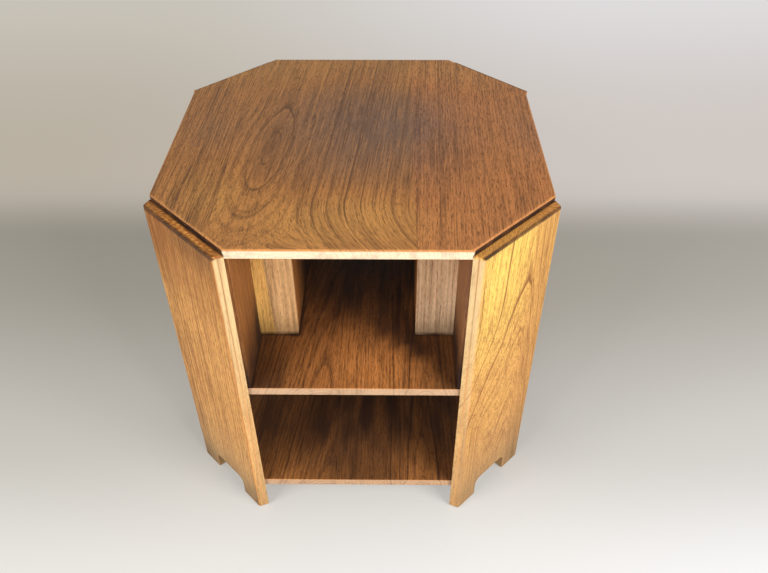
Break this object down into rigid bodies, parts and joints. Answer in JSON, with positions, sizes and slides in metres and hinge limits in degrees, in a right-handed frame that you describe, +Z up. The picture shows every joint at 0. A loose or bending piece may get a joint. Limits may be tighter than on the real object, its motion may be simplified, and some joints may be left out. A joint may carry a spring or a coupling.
{
  "type": "book table",
  "caption": "Octagonal oak book table: a cut-corner top and two shelves between slab corner panels on bracket feet, with dividers that make open book bays under the top.",
  "frame": {"origin": "on the floor, under the middle of the top", "axes": "+Z up, -Y out through the front bay, +X to the right seen from the front"},
  "size_m": [0.5106, 0.5106, 0.505],
  "materials": {
    "oak_top": "stained oak, waxed, satin",
    "oak_panel": "stained oak, waxed, satin",
    "oak_shelf": "stained oak, waxed, satin",
    "oak_divider": "stained oak, satin",
    "dowel_beech": "bare wood",
    "block_pine": "bare sawn wood",
    "screw_steel": "dull"
  },
  "bodies": {
    "root": {"top_board_left": "oak_top", "top_board_centre": "oak_top", "top_board_right": "oak_top", "middle_shelf_board_left": "oak_shelf", "middle_shelf_board_centre": "oak_shelf", "middle_shelf_board_right": "oak_shelf", "bottom_shelf_board_left": "oak_shelf", "bottom_shelf_board_centre": "oak_shelf", "bottom_shelf_board_right": "oak_shelf", "corner_panel_front_left": "oak_panel", "corner_panel_front_right": "oak_panel", "corner_panel_back_left": "oak_panel", "corner_panel_back_right": "oak_panel", "cheek_front_left": "oak_divider", "cheek_front_right": "oak_divider", "cheek_back_left": "oak_divider", "cheek_back_right": "oak_divider", "cross_divider_front_left": "oak_divider", "cross_divider_front_right": "oak_divider", "cross_divider_back_left": "oak_divider", "cross_divider_back_right": "oak_divider", "inner_wall_left": "oak_divider", "inner_wall_right": "oak_divider", "middle_shelf_dowels": "dowel_beech", "bottom_shelf_dowels": "dowel_beech", "corner_block_front_left": "block_pine", "corner_block_front_right": "block_pine", "corner_block_back_left": "block_pine", "corner_block_back_right": "block_pine", "corner_block_screws": "screw_steel", "glue_block_front_left": "block_pine", "glue_block_front_right": "block_pine", "glue_block_back_left": "block_pine", "glue_block_back_right": "block_pine"}
  },
  "joints": []
}
